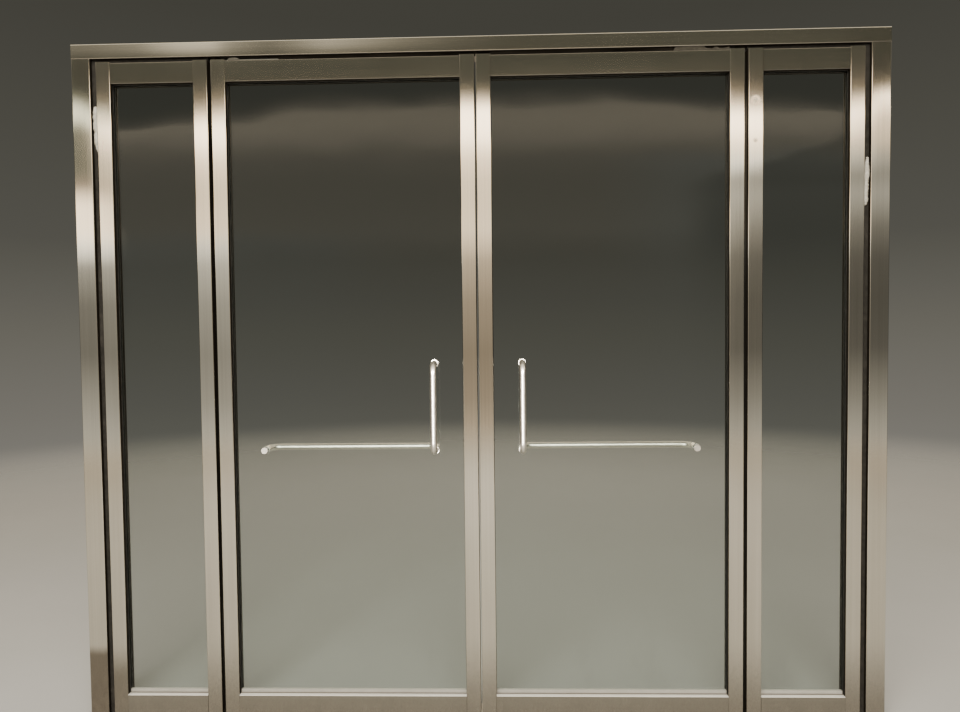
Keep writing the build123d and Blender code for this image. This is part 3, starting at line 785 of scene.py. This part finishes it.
WANDER: Span = (-0.0008, 0.0008)
UNEVEN: Span = (0.90, 1.10)


def squeezed(profile: Sequence[Point], length: float, spacing: float, seed: int) -> List[Point]:
    """Fills a run with overlapping blobs.

    Args:
        profile: share of the length, offset across and radius at a few places, in order.
        length: length of the run.
        spacing: distance between blobs.
        seed: starts the small unevenness.

    Returns:
        Distance along, offset across and radius of each blob.
    """
    chance = random.Random(seed)
    blobs = []
    count = int(length / spacing)
    for number in range(count + 1):
        share = number / count
        after = next(k for k in range(1, len(profile)) if share <= profile[k][0] + 1e-9)
        low, high = profile[after - 1], profile[after]
        part = (share - low[0]) / (high[0] - low[0])
        offset = low[1] + (high[1] - low[1]) * part + chance.uniform(*WANDER)
        radius = (low[2] + (high[2] - low[2]) * part) * chance.uniform(*UNEVEN)
        blobs.append((share * length, offset, radius))
    return blobs


@dataclass
class OldSealant:
    """A whitish run of old sealant in the recess between a sidelight and its jamb."""

    name: str
    word: str
    top: float
    length: float
    profile: Tuple[Point, ...]
    seed: int
    depth: float = 0.0130
    jamb_clearance: float = 0.0004
    round_end: float = 0.0060
    spacing: float = 0.0038

    def build(self) -> bpy.types.Object:
        """Models the run between the stile and the jamb.

        Returns:
            The run.
        """
        side = SIDES[self.word]
        stile = max(abs(corner.x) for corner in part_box(f"{self.word}_sidelight_outer_stile"))
        jamb = min(abs(corner.x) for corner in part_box(f"{self.word}_jamb_cladding"))
        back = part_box("recess_seals")[0].y
        blobs = squeezed(self.profile, self.length - 2 * self.round_end, self.spacing, self.seed)
        start = self.top - self.round_end
        inner, outer = sorted((side * stile, side * (jamb - self.jamb_clearance)))
        return RoughRun(
            name=self.name,
            body="frame",
            slot="old_sealant",
            finish=SEALANT,
            low=(inner, back - self.depth, self.top - self.length),
            high=(outer, back, self.top),
            blobs=[((side * (stile + out), back, start - down), radius) for down, out, radius in blobs],
        ).build()


@dataclass
class GapMortar:
    """A rough crust left on top of a leaf in front of its pivot plate."""

    name: str
    word: str
    near: float
    far: float
    profile: Tuple[Point, ...]
    seed: int
    finish: Finish = MORTAR
    set_back: float = 0.0012
    height: float = 0.0128
    reach: float = 0.016
    spacing: float = 0.0032

    def build(self) -> bpy.types.Object:
        """Models the crust.

        Returns:
            The piece.
        """
        side = SIDES[self.word]
        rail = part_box(f"{self.word}_leaf_top_rail")
        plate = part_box(f"{self.word}_leaf_top_pivot_socket")[0].y
        top, front = rail[1].z, rail[0].y
        blobs = squeezed(self.profile, self.far - self.near, self.spacing, self.seed)
        middle = (front + min(plate, front + self.reach)) / 2
        inner, outer = sorted((side * self.near, side * self.far))
        return RoughRun(
            name=self.name,
            body=f"{self.word}_leaf",
            slot="old_sealant",
            finish=self.finish,
            low=(inner, front + self.set_back, top),
            high=(outer, plate, top + self.height),
            blobs=[((side * (self.near + on), middle, top + lift), radius) for on, lift, radius in blobs],
            voxel=0.0008,
        ).build()


@dataclass
class Leaf:
    """One swinging leaf with its handles and pivots."""

    word: str

    def finishes(self) -> Dict[str, Finish]:
        """Says what covers each node.

        Returns:
            Finish of each of the leaf's nodes, by the end of its name.
        """
        return {
            "hinge_stile": SHEET_UPRIGHT,
            "meeting_stile": SHEET_UPRIGHT,
            "top_rail": SHEET_LEVEL,
            "bottom_rail": SHEET_LEVEL,
            "glass": GLASS,
            "gasket": RUBBER,
            "setting_blocks": PLASTIC,
            "pull_handle": PULL_TUBE,
            "push_bar": BAR_TUBE,
            "handle_bushes": NYLON,
            "handle_studs": BAR_TUBE,
            "bottom_arm": PLATED,
            "spindle": PLATED,
            "top_pivot_socket": WORN_PLATE,
        }

    def build(self) -> None:
        """Dresses the leaf."""
        for node, finish in self.finishes().items():
            dress(f"{self.word}_leaf_{node}", finish)


@dataclass
class Sidelight:
    """One fixed sidelight."""

    word: str
    inner_stile: Finish = SHEET_UPRIGHT
    outer_stile: Finish = SHEET_UPRIGHT

    def finishes(self) -> Dict[str, Finish]:
        """Says what covers each node.

        Returns:
            Finish of each of the sidelight's nodes, by the end of its name.
        """
        return {
            "outer_stile": self.outer_stile,
            "inner_stile": self.inner_stile,
            "top_rail": SHEET_LEVEL,
            "bottom_rail": SHEET_LEVEL,
            "glass": GLASS,
            "gasket": RUBBER,
        }

    def build(self) -> None:
        """Dresses the sidelight."""
        for node, finish in self.finishes().items():
            dress(f"{self.word}_sidelight_{node}", finish)


@dataclass
class Surround:
    """Header, jambs, threshold, floor springs and what closes the recesses."""

    def finishes(self) -> Dict[str, Finish]:
        """Says what covers each node.

        Returns:
            Finish of each of the surround's nodes.
        """
        both = {
            "jamb_post": PRIMED_POST,
            "floor_spring_box": GALVANISED,
            "floor_spring_body": CASTING,
            "floor_cover_plate": FLOOR_SHEET,
            "top_pivot_bracket": GREASED_AND_SHADED,
        }
        return {
            "header_cladding": HEADER_SHEET,
            "header_beam": PRIMED_AND_SHADED,
            "threshold": FLOOR_SHEET,
            "recess_seals": DEEP_SEAL,
            "sidelight_packers": PLASTIC,
            "sidelight_setting_blocks": PLASTIC,
            "cover_plate_screws": FLOOR_SHEET,
            "left_jamb_cladding": DARK_FOOT_JAMB_SHEET,
            "right_jamb_cladding": JAMB_SHEET,
            **{f"{word}_{node}": finish for word in SIDES for node, finish in both.items()},
        }

    def build(self) -> None:
        """Dresses the surround."""
        for node, finish in self.finishes().items():
            dress(node, finish)


@dataclass
class Sight:
    """A direction in the room: aside and up per metre of depth, and its share of flank and of room side."""

    aside: Value
    up: Value
    flank: Value
    inside: Value


@dataclass(frozen=True)
class Lamp:
    """A soft light with its place, the point it faces, its width and height, and its power in watts."""

    name: str
    place: Point
    aim: Point
    sides: Span
    power: float
    for_handles: bool = False
    colour: Colour = (1.0, 0.95, 0.88)

    def build(self) -> None:
        """Hangs the light. One for the handles lights only them, and they mirror it."""
        select()
        bpy.ops.object.light_add(type="AREA", location=self.place)
        lamp = bpy.context.object
        lamp.name = self.name
        lamp.data.shape = "RECTANGLE"
        lamp.data.size, lamp.data.size_y = self.sides
        lamp.data.energy = self.power
        lamp.data.color = self.colour
        lamp.visible_camera = False
        lamp.visible_glossy = self.for_handles
        lamp.visible_transmission = False
        lamp.rotation_mode = "QUATERNION"
        lamp.rotation_quaternion = (Vector(self.aim) - Vector(self.place)).to_track_quat("-Z", "Y")
        if self.for_handles:
            handles = bpy.data.collections.new(f"{self.name}_mirrors")
            for name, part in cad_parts.items():
                if name.endswith(("pull_handle", "push_bar", "handle_studs")):
                    handles.objects.link(part)
            lamp.light_linking.receiver_collection = handles


@dataclass
class Studio:
    """Plain pale floor, soft lights, a plain backdrop and a room of soft bands for the steel to mirror.

    Heights and widths in the room are shares of its depth. A border is where its change starts and ends, and a
    third number is the size of the change. A band is its height and its left, middle and right brightness.
    """

    floor_half: float = 14.0
    floor_height: float = -0.0006
    floor_end: Span = (3.6, 8.5)
    floor_tones: Tuple[Colour, Colour] = ((0.50, 0.49, 0.46), (0.56, 0.55, 0.52))
    floor_dimmed: float = 0.4
    backdrop_dimmed: float = 0.45
    lamps: Tuple[Lamp, ...] = (
        Lamp("front_panel", (-0.4, -3.6, 4.2), (0.0, -2.2, 0.0), (3.4, 3.4), 400.0),
        Lamp("top_panel", (0.3, 0.2, 5.4), (0.0, 0.0, 0.0), (3.0, 3.0), 30.0),
        Lamp("back_panel", (1.5, 4.5, 4.2), (0.0, 0.5, 0.8), (2.6, 2.6), 40.0),
        Lamp("upright_strip", (-0.60, -3.0, 1.0), (0.0, 0.0, 1.0), (0.45, 2.4), 380.0, True),
        Lamp("level_strip", (0.0, -3.0, 2.15), (0.0, 0.0, 1.0), (4.5, 0.35), 1100.0, True),
    )
    sky: Colour = (1.0, 0.82, 0.60)
    shade: Colour = (1.0, 0.99, 0.76)
    plain_tone: Colour = (1.0, 0.96, 0.83)
    ceiling_tone: Colour = (1.0, 0.90, 0.72)
    bands: Tuple[Tuple[float, float, float, float], ...] = (
        (-0.300, 0.85, 1.00, 0.80),
        (-0.170, 0.85, 0.91, 0.70),
        (-0.100, 0.57, 0.54, 0.37),
        (-0.030, 0.27, 0.44, 0.15),
        (0.045, 0.30, 0.60, 0.13),
        (0.103, 0.61, 0.97, 0.15),
        (0.147, 4.20, 2.20, 0.28),
        (0.191, 4.20, 2.10, 0.66),
        (0.220, 0.45, 2.20, 0.42),
        (0.249, 0.25, 3.00, 0.87),
        (0.264, 0.28, 4.20, 1.40),
        (0.279, 0.28, 6.50, 1.70),
        (0.298, 0.25, 8.00, 1.90),
        (0.318, 3.00, 8.00, 4.20),
        (0.328, 2.40, 3.40, 7.50),
        (0.335, 1.20, 1.50, 2.00),
        (0.342, 0.30, 0.55, 0.15),
        (0.350, 0.12, 0.18, 0.11),
        (0.360, 0.10, 0.12, 0.09),
        (0.600, 0.09, 0.10, 0.09),
    )
    ceiling: Tuple[Span, ...] = (
        (-0.60, 0.22), (-0.52, 0.36), (-0.46, 1.10), (-0.405, 1.20), (-0.398, 0.48), (-0.33, 0.16),
        (-0.29, 0.36), (-0.245, 0.75), (-0.20, 0.52), (-0.13, 0.22), (-0.06, 0.07), (0.02, 0.00),
    )
    flank: Span = (0.60, 0.92)
    room_side: Span = (0.0, 0.1)
    upper_room: Span = (0.28, 0.31)
    middle_leans: Tuple[Rise, ...] = (
        (-0.25, -0.40, 0.015), (-0.45, -0.56, 0.012), (0.18, 0.33, 0.014), (0.38, 0.50, 0.010),
    )
    left_border: Span = (-0.54, -0.555)
    left_border_shift: Rise = (0.14, 0.20, 0.03)
    left_jamb_lean: Rise = (-0.604, -0.596, 0.011)
    left_lean: float = -0.006
    right_border: Span = (0.25, 0.33)
    right_border_above: Span = (0.20, 0.28)
    right_border_shift: float = 0.23
    right_border_narrowed: float = 0.04
    right_stile_edge: Span = (0.537, 0.529)
    right_stile_lean: Rise = (0.20, 0.24, 0.019)
    shade_above: Span = (0.33, 0.37)
    shade_left: Span = (-0.57, -0.59)
    shade_left_above: Span = (0.225, 0.24)
    plain_beside: Span = (0.12, 0.30)
    plain_from: Span = (-0.22, -0.14)
    plain_to: Span = (0.16, 0.12)
    plain_right_lift: Rise = (-0.1, 0.1, 0.11)
    patches_from: Span = (0.406, 0.414)
    patches_to: Span = (0.5, 0.6)
    high_band: Rise = (0.47, 0.55, 2.0)
    high_band_to: Span = (0.8, 1.1)
    dome: Rise = (0.55, 1.0, 0.9)
    dome_lowered_inside: float = 0.2
    flank_glow: Rise = (0.30, 0.36, 0.22)
    flank_dimmed: float = 0.8
    inside_dimmed: float = 0.35
    diffuse_dimmed: float = 0.8
    polished_dimmed: float = 0.8
    corner_depth: float = 0.82
    least_depth: float = 0.05
    backdrop: Tuple[Tuple[float, Colour], ...] = (
        (-0.30, (0.28, 0.27, 0.24)),
        (-0.10, (0.185, 0.175, 0.150)),
        (0.00, (0.145, 0.138, 0.115)),
        (0.12, (0.092, 0.089, 0.074)),
        (0.40, (0.060, 0.058, 0.047)),
    )

    def build(self) -> None:
        """Makes the floor, the lights and the world."""
        self._floor()
        for lamp in self.lamps:
            lamp.build()
        self._world()

    def _floor(self) -> None:
        """A pale floor that fades out far from the door, dimmed where a pane is in front of it."""
        select()
        bpy.ops.mesh.primitive_plane_add(size=2 * self.floor_half, location=(0, 0, self.floor_height))
        floor = bpy.context.object
        floor.name = "studio_floor"
        material = bpy.data.materials.new("studio_floor")
        material.use_nodes = True
        board = Board(material.node_tree)
        x, y, _ = board.axes()
        far = board.step((x**2 + y**2) ** 0.5, *self.floor_end)
        clouds = board.noise((1.3, 1.3, 1.3), detail=5, roughness=0.6)
        through = Value(board, board.node("ShaderNodeLightPath").outputs["Is Transmission Ray"])
        tone = board.blend(clouds, *self.floor_tones)
        dimmed = board.blend(through * self.floor_dimmed, tone, (0.0, 0.0, 0.0))
        pale = board.principled({"Base Color": dimmed, "Roughness": 0.75})
        board.surface(board.mix(far, pale, board.node("ShaderNodeBsdfTransparent")))
        floor.data.materials.append(material)

    def _brightest(self) -> float:
        """Brightest level of the bands."""
        return max(max(band[1:]) for band in self.bands)

    def _column(self, board: Board, height: Value, column: int) -> bpy.types.NodeSocket:
        """Left (1), middle (2) or right (3) column of the bands at a height, as a share of the brightest."""
        top = self._brightest()
        return board.ramp(height, [(band[0], (band[column] / top,) * 3) for band in self.bands])

    def _bands(self, board: Board, sight: Sight) -> bpy.types.NodeSocket:
        """The three columns of bands side by side, shifted to where the steel mirrors them.

        Args:
            board: the world's board.
            sight: the direction.

        Returns:
            Brightness as a share of the brightest, as a colour.
        """
        aside, up = sight.aside, sight.up
        upper = board.step(up, *self.upper_room)
        lean = board.rise(aside, *self.left_jamb_lean) + self.left_lean
        left = self._column(board, up + lean * upper, 1)
        first, *others = [board.rise(aside, *part) for part in self.middle_leans]
        middle = self._column(board, up + sum(others, first) * upper, 2)
        lean = board.step(aside, *self.right_stile_edge) * board.rise(up, *self.right_stile_lean)
        right = self._column(board, up + lean, 3)
        outward = aside + board.rise(up, *self.left_border_shift)
        room = board.blend(board.step(outward, *self.left_border), middle, left)
        above = board.step(up, *self.right_border_above)
        near, far = self.right_border
        inward = aside - above * self.right_border_shift
        border = board.step(inward, near, far - above * self.right_border_narrowed)
        return board.blend(border, room, right)

    def _tint(self, board: Board, sight: Sight) -> bpy.types.NodeSocket:
        """Colour of the bands: warm, plainer beside the meeting stiles and pale green in the shade.

        Args:
            board: the world's board.
            sight: the direction.

        Returns:
            The colour.
        """
        aside, up = sight.aside, sight.up
        jamb = board.step(aside, *self.shade_left) * board.step(up, *self.shade_left_above)
        shaded = board.math("MAXIMUM", board.step(up, *self.shade_above), jamb)
        lowered = up - board.rise(aside, *self.plain_right_lift)
        beside = board.step(abs(aside), *self.plain_beside) * board.step(up, *self.plain_from)
        beside = beside * board.step(lowered, *self.plain_to)
        return board.blend(shaded, board.blend(beside, self.sky, self.plain_tone), self.shade)

    def _overhead(self, board: Board, sight: Sight) -> Value:
        """Brightness over the bands: patches that the header mirrors, a high band, the dome and a glow aside.

        Args:
            board: the world's board.
            sight: the direction.

        Returns:
            The brightness.
        """
        up, outside = sight.up, 1 - sight.inside
        patches = board.ramp(sight.aside, [(at, (level,) * 3) for at, level in self.ceiling])
        grey = Value(board, board.node("ShaderNodeRGBToBW", inputs={0: patches}).outputs[0])
        lit = grey * board.step(up, *self.patches_from) * (1 - board.step(up, *self.patches_to))
        band = board.rise(up, *self.high_band) * (1 - board.step(up, *self.high_band_to))
        dome = board.rise(up + sight.inside * self.dome_lowered_inside, *self.dome)
        glow = sight.flank * board.rise(up, *self.flank_glow)
        return dome + (band + lit) * outside + glow

    def _world(self) -> None:
        """A room that the steel mirrors, and a plain backdrop seen straight on or through the glass."""
        world = bpy.data.worlds.new("studio")
        bpy.context.scene.world = world
        world.use_nodes = True
        board = Board(world.node_tree)
        x, y, z = board.split(board.node("ShaderNodeTexCoord").outputs["Generated"])
        corner = (x**2 + y**2) ** 0.5 * self.corner_depth
        depth = board.math("MAXIMUM", board.math("MAXIMUM", abs(y), corner), self.least_depth)
        flank, inside = board.step(abs(x), *self.flank), board.step(y, *self.room_side)
        sight = Sight(x / depth, z / depth, flank, inside)
        rays = board.node("ShaderNodeLightPath").outputs
        polished = Value(board, rays["Is Singular Ray"]) * Value(board, rays["Is Glossy Ray"])
        dim = 1 - Value(board, rays["Is Diffuse Ray"]) * self.diffuse_dimmed
        dim = dim * (1 - polished * self.polished_dimmed)
        warm = board.blend(1.0, self._bands(board, sight), self._tint(board, sight), "MULTIPLY")
        strength = dim * (1 - flank * self.flank_dimmed) * (1 - inside * self.inside_dimmed)
        mirrored = board.light(warm, strength * self._brightest())
        ceiling = board.light(self.ceiling_tone, dim * self._overhead(board, sight))
        both = board.node("ShaderNodeAddShader", inputs={0: mirrored.outputs[0], 1: ceiling.outputs[0]})
        unmirrored = board.math("LESS_THAN", Value(board, rays["Glossy Depth"]), 0.5)
        through = Value(board, rays["Is Transmission Ray"]) * unmirrored
        seen = board.light(board.ramp(z, self.backdrop), 1 - through * self.backdrop_dimmed)
        straight = board.math("MAXIMUM", Value(board, rays["Is Camera Ray"]), through)
        shown = board.mix(straight, both, seen)
        board.node("ShaderNodeOutputWorld", inputs={"Surface": shown.outputs[0]})


@dataclass
class PhotoCamera:
    """The camera of the photo, solved from the door's edges."""

    place: Point = (0.07041, -2.37817, 1.35418)
    turn: float = 0.02698
    tilt: float = -0.03588
    roll: float = 0.010865
    focal: float = 25.773
    sensor: float = 36.0

    def build(self) -> None:
        """Makes the scene's camera."""
        flat = math.cos(self.tilt)
        forward = Vector((-math.sin(self.turn) * flat, math.cos(self.turn) * flat, math.sin(self.tilt)))
        level = Vector((math.cos(self.turn), math.sin(self.turn), 0.0))
        upright = level.cross(forward)
        right = math.cos(self.roll) * level - math.sin(self.roll) * upright
        up = math.sin(self.roll) * level + math.cos(self.roll) * upright
        select()
        bpy.ops.object.camera_add()
        camera = bpy.context.object
        camera.name = "photo_camera"
        camera.data.sensor_width = self.sensor
        camera.data.lens = self.focal
        camera.data.clip_start = 0.05
        camera.data.clip_end = 100.0
        turned = Matrix((right, up, -forward)).transposed().to_4x4()
        camera.matrix_world = Matrix.Translation(Vector(self.place)) @ turned
        bpy.context.scene.camera = camera


LEFT_SEALANT = (
    (0.00, 0.0094, 0.0070),
    (0.08, 0.0082, 0.0106),
    (0.42, 0.0080, 0.0108),
    (0.55, 0.0064, 0.0094),
    (0.72, 0.0066, 0.0104),
    (0.88, 0.0042, 0.0084),
    (1.00, 0.0022, 0.0042),
)
RIGHT_SEALANT = (
    (0.00, 0.0140, 0.0048),
    (0.12, 0.0136, 0.0066),
    (0.26, 0.0118, 0.0096),
    (0.38, 0.0110, 0.0102),
    (0.50, 0.0098, 0.0094),
    (0.65, 0.0090, 0.0094),
    (0.73, 0.0080, 0.0086),
    (0.90, 0.0082, 0.0090),
    (1.00, 0.0070, 0.0070),
)
LEFT_CRUST = (
    (0.0, 0.0006, 0.0040),
    (0.3, 0.0022, 0.0064),
    (0.7, 0.0030, 0.0074),
    (1.0, 0.0010, 0.0050),
)
RIGHT_CRUST = (
    (0.00, 0.0000, 0.0046),
    (0.05, 0.0040, 0.0084),
    (0.30, 0.0052, 0.0092),
    (0.52, 0.0048, 0.0088),
    (0.60, 0.0006, 0.0058),
    (0.70, 0.0004, 0.0054),
    (0.76, 0.0036, 0.0084),
    (0.82, 0.0006, 0.0056),
    (1.00, 0.0020, 0.0066),
)


def new_pieces() -> Tuple[Union[OldSealant, GapMortar], ...]:
    """Lists the pieces that the scene adds to the CAD.

    Returns:
        Their makers.
    """
    return (
        OldSealant("left_old_sealant", "left", 2.143, 0.166, LEFT_SEALANT, 11),
        OldSealant("right_old_sealant", "right", 1.927, 0.163, RIGHT_SEALANT, 23),
        GapMortar("left_gap_mortar", "left", 0.805, 0.842, LEFT_CRUST, 5, PALE_MORTAR),
        GapMortar("right_gap_mortar", "right", 0.668, 0.8525, RIGHT_CRUST, 8),
    )


def main() -> None:
    """Builds the camera, the room, the finishes and the added pieces."""
    logging.basicConfig(level=logging.INFO, format="%(name)s: %(message)s")
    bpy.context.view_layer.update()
    PhotoCamera().build()
    Studio().build()
    Surround().build()
    Sidelight("left", outer_stile=DARK_FOOT_SHEET).build()
    Sidelight("right", inner_stile=MARKED_SHEET).build()
    for word in SIDES:
        Leaf(word).build()
    pieces = {maker.name: maker.build() for maker in new_pieces()}
    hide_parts("recess_sealant_lumps")


if __name__ == "__main__":
    main()
